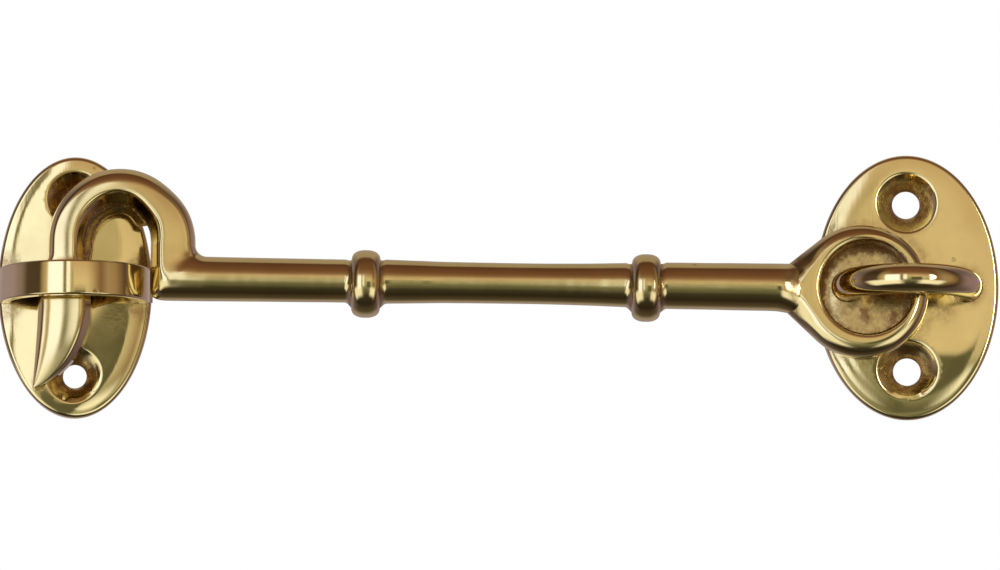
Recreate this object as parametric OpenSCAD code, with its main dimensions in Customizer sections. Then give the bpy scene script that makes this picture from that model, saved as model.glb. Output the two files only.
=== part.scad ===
// Cast brass cabin hook: a hook that lifts on a riveted staple and drops into a strap on a second plate

/* [Plates] */
// Distance between the centres of the two plates
plate_spacing = 127; // [115:0.5:160]
// Thickness of both plates
plate_t = 3; // [2.8:0.1:4]
// Rounding of the plates' front edge
plate_edge = 1; // [0.4:0.1:1.4]
// Width of the pivot plate
pivot_plate_w = 28; // [27:0.5:36]
// Height of the pivot plate
pivot_plate_h = 40.5; // [38:0.5:56]
// Width of the catch plate
catch_plate_w = 23.4; // [23:0.2:34]
// Height of the catch plate
catch_plate_h = 40; // [39:0.5:56]

/* [Screw holes] */
// Distance between the pivot plate's screw holes
pivot_screw_spacing = 25.7; // [22:0.1:27]
// Screw hole in the pivot plate
pivot_hole_d = 4.2; // [3.6:0.1:4.6]
// Countersink in the pivot plate
pivot_sink_d = 9.2; // [8:0.1:9.6]
// Distance between the catch plate's screw holes
catch_screw_spacing = 27.1; // [24:0.1:28]
// Screw hole in the catch plate
catch_hole_d = 3.6; // [3.2:0.1:4.2]
// Countersink in the catch plate
catch_sink_d = 8.4; // [7.6:0.1:8.6]
// Depth of the softened rim round each countersink
sink_rim = 0.3; // [0.1:0.05:0.5]

/* [Pivot staple] */
// Thickness of the round staple
staple_d = 4.6; // [4:0.1:4.8]
// Overall width of the staple
staple_w = 22.7; // [22:0.1:26]
// Straight part of each leg, in front of the plate
staple_leg = 0.6; // [0.5:0.1:3]
// Diameter of the tenons that are riveted over behind the plate
tenon_d = 3.2; // [2.4:0.1:3.4]

/* [Catch strap] */
// Overall width of the strap
strap_w = 23; // [21:0.1:23.2]
// Height of the strap
strap_h = 5.3; // [4.6:0.1:6]
// Thickness of the strap
strap_t = 1.9; // [1.6:0.1:2.4]
// Chamfer along the strap's edges
strap_edge = 0.3; // [0.1:0.05:0.5]
// Thickness of the tongues that are riveted over behind the plate
tongue_t = 1.2; // [0.8:0.1:1.3]
// Height of the tongues
tongue_h = 3; // [2:0.1:3.6]

/* [Hook eye] */
// Hole of the eye
eye_hole_d = 14.2; // [13.6:0.1:15]
// Outer diameter of the eye
eye_d = 20.3; // [19.6:0.1:22]
// Depth of the eye
eye_t = 5.2; // [4.6:0.1:5.4]
// Rounding of the eye's outer rim
eye_edge = 2.2; // [1:0.1:2.4]
// How far the rim is off the hole's centre, towards the shank
eye_shift = 0.8; // [0:0.1:1]
// How far the rim is off the hole's centre, downwards
eye_sag = 0.5; // [0:0.1:0.6]
// How far the neck flares out of the shank at the eye
neck_flare = 1; // [0.6:0.1:1.2]
// Hole's centre to the left of the pivot plate's centre
eye_left = 6.3; // [6:0.1:7]
// Hole's centre below the plates' centres
eye_drop = 0.9; // [0:0.1:1.4]

/* [Shank] */
// Diameter of the shank at the eye
shank_d = 7.4; // [6.8:0.1:7.6]
// Diameter of the shank next to a bead
bead_neck_d = 7; // [6.4:0.1:7.6]
// Diameter of the shank's waist, halfway between the beads
waist_d = 6.2; // [5.6:0.1:7]
// Diameter of the shank at the gooseneck
heel_d = 6.8; // [6.4:0.1:7.4]
// Diameter of the two beads
bead_d = 10.3; // [9:0.1:11]
// Width of a bead
bead_w = 4.3; // [3.4:0.1:5]
// How far the beads sit below the shank's axis
bead_drop = 0.4; // [0:0.1:0.5]
// First bead's distance from the centre of the eye's hole
first_bead = 33.6; // [26:0.1:40]
// Second bead's distance from the catch plate's centre
second_bead = 44.5; // [38:0.1:52]
// Angle at which the shank rises to the catch
shank_rise = 0.84; // [0:0.02:1.2]

/* [Gooseneck] */
// Distance from the catch plate's centre to the middle of the arch
arch_offset = 6.95; // [6.6:0.05:7.4]
// Distance from the middle of the arch to the middle of a leg
arch_half_span = 8.15; // [8:0.05:8.6]
// Rise of the arch above its springing
arch_rise = 8.8; // [8.2:0.1:11]
// Width of the bar at the crown
crown_w = 5.4; // [4.8:0.1:6]
// Width of the bar at the heel
heel_w = 6.8; // [6:0.1:7]
// Depth of the bar
bar_t = 6.4; // [5.8:0.1:6.6]
// Radius of the fillet between the shank's top and the gooseneck
heel_fillet = 1.8; // [1:0.1:2.6]

/* [Claw] */
// Width of the claw under the strap
claw_w = 8.2; // [6.8:0.1:8.4]
// Depth of the claw under the strap
claw_t = 7.5; // [6.8:0.1:7.6]
// Distance from the shank's axis down to the claw's point
claw_drop = 17.1; // [14:0.1:19]
// Length of the tapered point
point_l = 11.9; // [9:0.1:13]
// How far the point leans out past the claw's side
point_lean = 0.5; // [0:0.1:1.2]

/* [Hidden] */
$fn = 96;

// Room between a riveted tenon and its hole, and between a moving piece and a plate
rivet_clearance = 0.05;
running_clearance = 0.4;

// Riveted heads lie in a countersink in the plate's back
rivet_flare = 0.6;
through = 1;

// The hook moves in a plane parallel to the plates, with the claw and the shank clear of them
hook_plane = plate_t + max(claw_t, shank_d) / 2 + running_clearance;
staple_r = (staple_w - staple_d) / 2;
foot_flare = 0.45;
strap_r = strap_w / 2;
second_bead_s = plate_spacing - second_bead - eye_left;
bead_edge = 1.2;
bead_fillet = 0.9;
neck_sag = 0.35;

// Sharpness of the heel's corner, and the step by which the gooseneck's plug is thinner than the shank
heel_corner = 9;
plug_step = 0.03;

// Places along the gooseneck, in the hook's own frame: the eye's hole is the origin and the shank runs to -X
arch_x = eye_left + arch_offset - plate_spacing;
arch_springing = heel_d / 2 + heel_fillet;
heel_x = arch_x + arch_half_span + heel_w / 2 + heel_fillet;
shank_l = -heel_x;
claw_shoulder = claw_drop - point_l;
shoulder_l = 3.2;
oval_sides = 72;
heel_steps = 9;
arch_steps = 20;
claw_steps = 12;

brass = [0.80, 0.64, 0.30];
cast_brass = [0.72, 0.56, 0.25];

function mix(a, b, f) = a + (b - a) * f;
function ease(f) = f * f * (3 - 2 * f);
function clamp(f) = min(1, max(0, f));

// Solid through a list of rings with as many points each, closed at both ends
module loft(rings) {
    n = len(rings[0]);
    last = len(rings) - 1;
    polyhedron(
        points = [for (r = rings, p = r) p],
        faces = concat(
            [[for (j = [n - 1 : -1 : 0]) j]],
            [for (i = [0 : last - 1], j = [0 : n - 1])
                let (k = (j + 1) % n)
                [i * n + j, i * n + k, (i + 1) * n + k, (i + 1) * n + j]],
            [[for (j = [0 : n - 1]) last * n + j]]
        )
    );
}

// Oval plate with a flat back at Z 0 and a rounded front edge
function oval_ring(w, h, inset, z) = [
    for (i = [0 : oval_sides - 1])
        let (a = 360 * i / oval_sides)
        [(w / 2 - inset) * cos(a), (h / 2 - inset) * sin(a), z]
];
module oval_plate(w, h) {
    loft(concat(
        [oval_ring(w, h, 0, 0)],
        [for (a = [0 : 22.5 : 90])
            oval_ring(w, h, plate_edge * (1 - cos(a)), plate_t - plate_edge * (1 - sin(a)))]
    ));
}

// Countersunk screw hole with a softened rim, cut right through the plate
module screw_hole(hole_d, sink_d) {
    rim_w = 2 * sink_rim;
    cone_r = sink_d / 2 - rim_w;
    rim_z = plate_t - sink_rim;
    rotate_extrude()
        polygon([
            [0, -through], [hole_d / 2, -through],
            [hole_d / 2, rim_z - cone_r + hole_d / 2], [cone_r, rim_z],
            [sink_d / 2 + rim_w, plate_t + sink_rim], [0, plate_t + sink_rim]
        ]);
}

module screw_holes(spacing, hole_d, sink_d) {
    for (side = [-1, 1])
        translate([0, side * spacing / 2, 0])
            screw_hole(hole_d, sink_d);
}

// Round tenon from the plate's front to its back, with the riveted head flush in the back
module tenon(d) {
    cylinder(d = d, h = plate_t);
    cylinder(d1 = d + 2 * rivet_flare, d2 = d, h = rivet_flare);
}

// Hole for a tenon, cut right through the plate
module tenon_hole(d) {
    translate([0, 0, -rivet_flare])
        cylinder(d1 = d + 4 * rivet_flare, d2 = d, h = 2 * rivet_flare);
    cylinder(d = d, h = plate_t + through);
}

// Flat tongue with the same riveted head
module tongue(t, h) {
    translate([-t / 2, -h / 2, 0])
        cube([t, h, plate_t]);
    translate([-t / 2, -h / 2 - rivet_flare, 0])
        cube([t, h + 2 * rivet_flare, rivet_flare]);
}

// Slot for a tongue, cut right through the plate
module tongue_slot(t, h) {
    translate([-t / 2, -h / 2, 0])
        cube([t, h, plate_t + through]);
    translate([-t / 2, -h / 2 - rivet_flare, -through])
        cube([t, h + 2 * rivet_flare, rivet_flare + through]);
}

// Turns a piece drawn flat on its back so that its front faces -Y
module upright() {
    rotate([90, 0, 0])
        children();
}

module pivot_plate() {
    color(brass)
        upright()
            difference() {
                oval_plate(pivot_plate_w, pivot_plate_h);
                screw_holes(pivot_screw_spacing, pivot_hole_d, pivot_sink_d);
                for (side = [-1, 1])
                    translate([side * staple_r, 0, 0])
                        tenon_hole(tenon_d + 2 * rivet_clearance);
            }
}

// Round half ring that the eye hangs on, with a flared foot at each end
module pivot_staple() {
    color(brass)
        upright() {
            translate([0, 0, plate_t + staple_leg])
                rotate([90, 0, 0])
                    rotate_extrude(angle = 180)
                        translate([staple_r, 0])
                            circle(d = staple_d);
            for (side = [-1, 1])
                translate([side * staple_r, 0, 0]) {
                    translate([0, 0, plate_t])
                        cylinder(d = staple_d, h = staple_leg);
                    translate([0, 0, plate_t])
                        cylinder(d1 = staple_d + 2 * foot_flare, d2 = staple_d, h = foot_flare);
                    tenon(tenon_d);
                }
        }
}

module catch_plate() {
    tongue_r = strap_r - strap_t / 2;
    color(brass)
        translate([-plate_spacing, 0, 0])
            upright()
                difference() {
                    oval_plate(catch_plate_w, catch_plate_h);
                    screw_holes(catch_screw_spacing, catch_hole_d, catch_sink_d);
                    for (side = [-1, 1])
                        translate([side * tongue_r, 0, 0])
                            tongue_slot(tongue_t + 2 * rivet_clearance, tongue_h + 2 * rivet_clearance);
                }
}

// Flat half ring that the claw drops into
module catch_strap() {
    tongue_r = strap_r - strap_t / 2;
    inner_r = strap_r - strap_t;
    top = strap_h / 2;
    color(brass)
        translate([-plate_spacing, 0, 0])
            upright() {
                translate([0, 0, plate_t])
                    rotate([90, 0, 0])
                        rotate_extrude(angle = 180)
                            polygon([
                                [inner_r, -top + strap_edge], [inner_r + strap_edge, -top],
                                [strap_r - strap_edge, -top], [strap_r, -top + strap_edge],
                                [strap_r, top - strap_edge], [strap_r - strap_edge, top],
                                [inner_r + strap_edge, top], [inner_r, top - strap_edge]
                            ]);
                for (side = [-1, 1])
                    translate([side * tongue_r, 0, 0])
                        tongue(tongue_t, tongue_h);
            }
}

// Radius of the shank at a distance s from the eye, between its two beads and beyond them
function shank_r(s) =
    s < first_bead ? mix(shank_d, bead_neck_d, s / first_bead) / 2
    : s < second_bead_s ? waist_r((s - first_bead) / (second_bead_s - first_bead))
    : mix(bead_neck_d - 0.5, heel_d, (s - second_bead_s) / (shank_l - second_bead_s)) / 2;
function waist_r(f) = mix(waist_d, bead_neck_d, pow(abs(2 * f - 1), 2.5)) / 2;

// Turned shank from the eye to the heel, drawn along +Z from the eye's centre
module shank() {
    root = (eye_hole_d + eye_d) / 4 + eye_shift / 2;
    root_r = eye_t / 2 - 0.3;
    root_l = 2.4;
    rotate_extrude()
        polygon(concat(
            [[0, root]],
            [for (a = [0 : 15 : 75]) [mix(root_r, shank_r(root), sin(a)), root + root_l * (1 - cos(a))]],
            [for (f = [0 : 0.05 : 1]) let (s = mix(root + root_l, shank_l, f)) [shank_r(s), s]],
            [[0, shank_l]]
        ));
}

// Barrel-shaped bead with rounded corners, filleted to the shank on both sides
module bead() {
    half = bead_w / 2;
    rim_r = bead_d / 2;
    neck_r = bead_neck_d / 2 - 2 * bead_drop;
    side = concat(
        [for (a = [90 : -22.5 : 0]) [neck_r + bead_fillet * (1 - sin(a)), half + bead_fillet * (1 - cos(a))]],
        [for (a = [22.5 : 22.5 : 90]) [rim_r - bead_edge * (1 - sin(a)), half - bead_edge * (1 - cos(a))]]
    );
    rotate_extrude()
        polygon(concat(
            [[0, half + bead_fillet]],
            side,
            [for (i = [len(side) - 1 : -1 : 0]) [side[i][0], -side[i][1]]],
            [[0, -half - bead_fillet]]
        ));
}

// Eye with a rounded rim and an off-centre hole
module eye() {
    rim_r = eye_d / 2;
    hole_r = eye_hole_d / 2;
    hole_edge = 0.6;
    difference() {
        translate([-eye_shift, 0, -eye_sag])
            rotate([90, 0, 0])
                rotate_extrude() {
                    square([rim_r - eye_edge, eye_t], center = false);
                    translate([0, eye_t / 2 - (eye_t / 2 - eye_edge)])
                        square([rim_r, eye_t - 2 * eye_edge]);
                    for (z = [eye_edge, eye_t - eye_edge])
                        translate([rim_r - eye_edge, z])
                            circle(eye_edge);
                }
        rotate([90, 0, 0]) {
            translate([0, 0, -through])
                cylinder(r = hole_r, h = eye_t + 2 * through);
            cylinder(r1 = hole_r + hole_edge, r2 = hole_r, h = hole_edge);
            translate([0, 0, eye_t - hole_edge])
                cylinder(r1 = hole_r, r2 = hole_r + hole_edge, h = hole_edge);
        }
    }
}

// Flared neck that joins the shank to the eye's rim, no deeper than the eye
module neck() {
    root = (eye_hole_d + eye_d) / 4 + eye_shift / 2;
    flare_l = 4.6;
    neck_t = eye_t - 0.7;
    intersection() {
        translate([0, 0, -neck_sag])
            rotate([0, -90, 0])
                rotate_extrude()
                    polygon(concat(
                        [[0, root]],
                        [for (f = [0 : 0.125 : 1]) [
                            shank_d / 2 - neck_sag + neck_flare * pow(1 - f, 2) + 0.04,
                            root + 0.3 + flare_l * f
                        ]],
                        [[0, root + 0.3 + flare_l]]
                    ));
        translate([-root - 2 * flare_l, -neck_t / 2, -eye_d])
            cube([2 * flare_l, neck_t, 2 * eye_d]);
    }
}

// Section of the gooseneck from its outer side n0 to its inner side n1, at half depth d. It turns from round
// like the shank (k = 0) into a bar (k = 1) with a round outer side, a flat face and a bevelled inner side
function bar_front(n0, n1, d, k) =
    let (w = n1 - n0, power = mix(1, 1.4, k))
    concat(
        [for (a = [0 : 18 : 90]) [n0 + mix(0.5, 0.42, k) * w * (1 - cos(a)), -d * sin(a)]],
        [for (a = [18 : 18 : 72]) [
            n1 - mix(0.5, 0.36, k) * w * (1 - pow(sin(a), power)),
            -mix(1, 0.96, k) * d * pow(cos(a), power)
        ]],
        [[n1, 0]]
    );
function bar_section(n0, n1, d, k) =
    let (front = bar_front(n0, n1, d, k))
    concat(front, [for (i = [len(front) - 2 : -1 : 1]) [front[i][0], -front[i][1]]]);

// One ring of the gooseneck: centre c in the hook's plane and the direction u of its outer side
function bar_ring(c, u, outer, inner, d, k = 1) = [
    for (p = bar_section(-outer, inner, d, k))
        [c[0] - u[0] * p[0], p[1], c[1] - u[1] * p[0]]
];

// Plug inside the shank, and the heel that fans round the fillet from the shank to the leg
function plug_ring(x) =
    let (r = heel_d / 2 - plug_step)
    bar_ring([x, 0], [0, 1], r, r, r, 0);
function heel_rings() = concat(
    [plug_ring(heel_x + 2 * heel_fillet), plug_ring(heel_x - plug_step)],
    [for (i = [1 : heel_steps - 1])
        let (
            f = i / heel_steps,
            a = 90 * f,
            to_sole = (heel_d + heel_fillet) / cos(a),
            to_side = (heel_w + heel_fillet) / sin(a),
            far = pow(pow(to_sole, -heel_corner) + pow(to_side, -heel_corner), -1 / heel_corner)
        )
        bar_ring(
            [heel_x, arch_springing], [sin(a), cos(a)],
            -heel_fillet, far, mix(heel_d, bar_t, f) / 2, ease(clamp((f - 0.25) / 0.55))
        )]
);
function arch_rings() = [
    for (i = [0 : arch_steps])
        let (
            a = 180 * i / arch_steps,
            w = mix(heel_w, crown_w, ease(clamp(a / 90))) / 2,
            z = arch_springing + arch_rise * sin(a),
            normal = [cos(a) / arch_half_span, sin(a) / arch_rise]
        )
        bar_ring([arch_x + arch_half_span * cos(a), z], normal / norm(normal), w, w, bar_t / 2)
];
function shoulder_rings() = [
    for (f = [0.2 : 0.2 : 1])
        let (
            z = mix(arch_springing, -claw_shoulder, f),
            g = ease(clamp((arch_springing - z - 2) / shoulder_l)),
            w = mix(crown_w, claw_w, g) / 2
        )
        bar_ring([arch_x - arch_half_span, z], [-1, 0], w, w, mix(bar_t, claw_t, g) / 2)
];
function point_rings() = [
    for (i = [1 : claw_steps])
        let (
            f = 0.99 * sin(90 * i / claw_steps),
            outer = claw_w / 2 + point_lean * f,
            w = (claw_w + point_lean) * pow(1 - f * f, 0.7)
        )
        bar_ring(
            [arch_x - arch_half_span, -claw_shoulder - point_l * f], [-1, 0],
            outer, w - claw_w / 2 - point_lean, claw_t / 2 * mix(1, 0.22, pow(f, 1.6))
        )
];

// Bar swept from the plug in the shank to the claw's point
module gooseneck() {
    loft(concat(heel_rings(), arch_rings(), shoulder_rings(), point_rings()));
}

module hook_arm() {
    color(cast_brass)
        translate([-eye_left, -hook_plane, -eye_drop])
            rotate([0, shank_rise, 0]) {
                translate([0, eye_t / 2, 0])
                    eye();
                neck();
                rotate([0, -90, 0])
                    shank();
                for (s = [first_bead, second_bead_s])
                    translate([-s, 0, -bead_drop])
                        rotate([0, 90, 0])
                            bead();
                gooseneck();
            }
}

pivot_plate();
pivot_staple();
catch_plate();
catch_strap();
hook_arm();
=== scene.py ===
import math

import bmesh
import bpy
from mathutils import Matrix, Vector, noise
from mathutils.geometry import delaunay_2d_cdt


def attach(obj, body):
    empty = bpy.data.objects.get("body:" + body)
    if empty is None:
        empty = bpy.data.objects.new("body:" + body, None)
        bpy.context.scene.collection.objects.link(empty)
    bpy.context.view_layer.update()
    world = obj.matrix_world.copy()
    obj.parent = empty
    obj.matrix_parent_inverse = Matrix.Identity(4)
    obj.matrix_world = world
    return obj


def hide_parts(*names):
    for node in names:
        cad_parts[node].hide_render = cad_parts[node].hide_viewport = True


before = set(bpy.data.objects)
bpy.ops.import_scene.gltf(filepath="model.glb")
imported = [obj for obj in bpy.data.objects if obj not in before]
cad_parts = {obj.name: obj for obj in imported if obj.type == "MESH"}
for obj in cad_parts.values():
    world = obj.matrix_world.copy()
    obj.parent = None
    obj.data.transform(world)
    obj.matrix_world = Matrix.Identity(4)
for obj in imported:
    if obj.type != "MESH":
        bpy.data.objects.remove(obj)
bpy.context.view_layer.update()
mm = 0.001


def mix(a, b, f):
    return a + (b - a) * f


def ease(f):
    f = min(1.0, max(0.0, f))
    return f * f * (3 - 2 * f)


def bump(x, centre, width):
    return math.exp(-((x - centre) / width) ** 2)


# node helpers, shared by geometry, shader and world trees
def put(tree, kind, feeds=None, **settings):
    node = tree.nodes.new(kind)
    for key, value in settings.items():
        setattr(node, key, value)
    for key, value in (feeds or {}).items():
        feed(tree, node.inputs[key], value)
    return node


def feed(tree, socket, value):
    if isinstance(value, bpy.types.NodeSocket):
        tree.links.new(value, socket)
    else:
        socket.default_value = value


def calc(tree, operation, *values):
    node = put(tree, "ShaderNodeMath", operation=operation)
    for socket, value in zip(node.inputs, values):
        feed(tree, socket, value)
    return node.outputs[0]


def blendColour(tree, factor, a, b, blend="MIX"):
    node = put(tree, "ShaderNodeMix", data_type="RGBA", blend_type=blend)
    for index, value in ((0, factor), (6, a), (7, b)):  # factor and the two colour sockets
        feed(tree, node.inputs[index], value)
    return node.outputs[2]


def ranged(tree, value, low, high, toLow=0.0, toHigh=1.0, kind="LINEAR"):
    feeds = {"From Min": low, "From Max": high, "To Min": toLow, "To Max": toHigh}
    node = put(tree, "ShaderNodeMapRange", feeds, interpolation_type=kind, clamp=True)
    feed(tree, node.inputs["Value"], value)
    return node.outputs["Result"]


# brass finishes
def handPolish():
    # tarnish, smudges, buffing lines and small casting pits, and the painted shade that the recess mask
    # carries, for every brass piece
    tree = bpy.data.node_groups.new("handPolish", "ShaderNodeTree")
    face = tree.interface
    inputs = (("Coordinates", "Vector", (0, 0, 0)), ("Clean", "Color", (0.88, 0.74, 0.36, 1)),
              ("Tarnish And Shade", "Color", (0.3, 0.17, 0.06, 1)), ("Recess And Shade", "Float", 0.0),
              ("Line Scale", "Vector", (120, 3200, 3200)), ("Polished Roughness", "Float", 0.12),
              ("Pits", "Float", 0.5))
    for label, kind, value in inputs:
        face.new_socket(label, in_out="INPUT", socket_type="NodeSocket" + kind).default_value = value
    for label, kind in (("Colour", "Color"), ("Roughness", "Float"), ("Height", "Float")):
        face.new_socket(label, in_out="OUTPUT", socket_type="NodeSocket" + kind)
    entry = put(tree, "NodeGroupInput").outputs
    where = entry["Coordinates"]

    def clouds(coordinates, scale, **details):
        feeds = {"Vector": coordinates, "Scale": scale, **details}
        return put(tree, "ShaderNodeTexNoise", feeds).outputs["Fac"]

    patches = clouds(where, 90.0, Detail=4.0, Roughness=0.6)
    specks = clouds(where, 900.0, Detail=3.0, Roughness=0.65)
    smudges = clouds(where, 220.0, Detail=5.0, Distortion=0.6)
    stretched = put(tree, "ShaderNodeVectorMath", {0: where, 1: entry["Line Scale"]}, operation="MULTIPLY")
    lines = clouds(stretched.outputs[0], 1.0, Detail=2.0)
    pits = put(tree, "ShaderNodeTexVoronoi", {"Vector": where, "Scale": 420.0, "Randomness": 1.0})
    sparse = clouds(where, 130.0, Detail=1.0)

    pitted = calc(tree, "MULTIPLY", ranged(tree, pits.outputs["Distance"], 0.2, 0.08),
                  ranged(tree, sparse, 0.62, 0.68))
    pitted = calc(tree, "MULTIPLY", pitted, entry["Pits"])
    ragged = ranged(tree, specks, 0.36, 0.64, 0.5, 1.4)
    # the recess mask darkens towards the tarnish colour: patina in hollows, and painted shade round the eye
    creviceAndShade = calc(tree, "MULTIPLY", entry["Recess And Shade"], ragged)
    creviceAndShade = calc(tree, "MINIMUM", calc(tree, "ADD", creviceAndShade, calc(tree, "MULTIPLY", pitted, 0.8)), 0.92)
    film = ranged(tree, patches, 0.45, 0.75, 0.0, 0.16)
    warm = blendColour(tree, film, entry["Clean"], entry["Tarnish And Shade"])
    colour = blendColour(tree, creviceAndShade, warm, entry["Tarnish And Shade"])

    haze = ranged(tree, smudges, 0.35, 0.75, 0.0, 0.06)
    rough = calc(tree, "ADD", entry["Polished Roughness"], haze)
    rough = calc(tree, "ADD", rough, calc(tree, "MULTIPLY", creviceAndShade, 0.3))
    height = calc(tree, "MULTIPLY_ADD", lines, 0.22, calc(tree, "MULTIPLY", pitted, -3.0))
    crust = calc(tree, "MULTIPLY", specks, entry["Recess And Shade"])
    height = calc(tree, "ADD", height, calc(tree, "MULTIPLY", crust, 4.0))
    put(tree, "NodeGroupOutput", {"Colour": colour, "Roughness": rough, "Height": height})
    return tree


polish = handPolish()


def brass(name, clean, tarnishAndShade, lineScale, roughness, pits):
    material = bpy.data.materials.new(name)
    material.use_nodes = True
    tree = material.node_tree
    tree.nodes.clear()
    where = put(tree, "ShaderNodeTexCoord").outputs["Object"]
    # recess mask: patina in hollows and painted shade
    recessAndShade = put(tree, "ShaderNodeAttribute", attribute_name="recessAndShade").outputs["Fac"]
    finish = put(tree, "ShaderNodeGroup", node_tree=polish)
    for label, value in (("Coordinates", where), ("Clean", (*clean, 1)), ("Tarnish And Shade", (*tarnishAndShade, 1)),
                         ("Recess And Shade", recessAndShade), ("Line Scale", lineScale), ("Polished Roughness", roughness),
                         ("Pits", pits)):
        feed(tree, finish.inputs[label], value)
    relief = put(tree, "ShaderNodeBump", {
        "Strength": 0.35, "Distance": 0.04 * mm, "Height": finish.outputs["Height"]})
    shader = put(tree, "ShaderNodeBsdfPrincipled", {
        "Base Color": finish.outputs["Colour"], "Roughness": finish.outputs["Roughness"],
        "Normal": relief.outputs["Normal"], "Metallic": 1.0})
    put(tree, "ShaderNodeOutputMaterial", {"Surface": shader.outputs["BSDF"]})
    return material


plateBrass = brass("plateBrass", clean=(0.91, 0.78, 0.40), tarnishAndShade=(0.32, 0.17, 0.055),
                   lineScale=(2600, 2600, 150), roughness=0.06, pits=1.0)
stapleBrass = brass("stapleBrass", clean=(0.88, 0.74, 0.38), tarnishAndShade=(0.28, 0.15, 0.06),
                    lineScale=(150, 2600, 2600), roughness=0.05, pits=0.5)
hookBrass = brass("hookBrass", clean=(0.85, 0.72, 0.36), tarnishAndShade=(0.26, 0.14, 0.05),
                  lineScale=(150, 2600, 2600), roughness=0.1, pits=0.6)
print("brass finishes made")


# mesh helpers
def loopOf(bm, points):
    return [bm.verts.new(Vector(p) * mm) for p in points]


def bridge(bm, first, second):
    count = len(first)
    for i in range(count):
        j = (i + 1) % count
        bm.faces.new((first[i], first[j], second[j], second[i]))


def settle(bm, mesh, material, sharp):
    # welded, facing outward and smooth up to the sharp angle
    bmesh.ops.remove_doubles(bm, verts=bm.verts, dist=1e-7)
    bmesh.ops.recalc_face_normals(bm, faces=bm.faces)
    bm.to_mesh(mesh)
    bm.free()
    mesh.polygons.foreach_set("use_smooth", [True] * len(mesh.polygons))
    mesh.set_sharp_from_angle(angle=math.radians(sharp))
    mesh.update()
    mesh.materials.clear()
    mesh.materials.append(material)


def newPiece(bm, name, material):
    mesh = bpy.data.meshes.new(name)
    settle(bm, mesh, material, 32)
    piece = bpy.data.objects.new(name, mesh)
    bpy.context.scene.collection.objects.link(piece)
    return piece


def plainMesh(piece, material, sharp):
    # what the modifiers give, as a plain mesh on the same object
    made = piece.evaluated_get(bpy.context.evaluated_depsgraph_get())
    mesh = bpy.data.meshes.new_from_object(made)
    piece.modifiers.clear()
    old = piece.data
    piece.data = mesh
    bpy.data.meshes.remove(old)
    bm = bmesh.new()
    bm.from_mesh(mesh)
    settle(bm, mesh, material, sharp)
    return piece


def markRecessAndShade(piece, depthAt):
    # dirt that the buffing wheel doesn't reach, and painted shade round the eye, from 0 to 1 at each point in
    # mm
    mesh = piece.data
    layer = mesh.attributes.new("recessAndShade", "FLOAT", "POINT")
    values = [min(1.0, max(0.0, depthAt(*(v.co / mm)))) for v in mesh.vertices]
    layer.data.foreach_set("value", values)


# oval plates
rimSteps, sinkSteps, rivetSteps = 160, 72, 32  # points round the rim, a countersink and a round rivet
backEdge = 0.2  # chamfer round the back
rivetFlare = 0.6  # how far a rivet's head spreads


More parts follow.
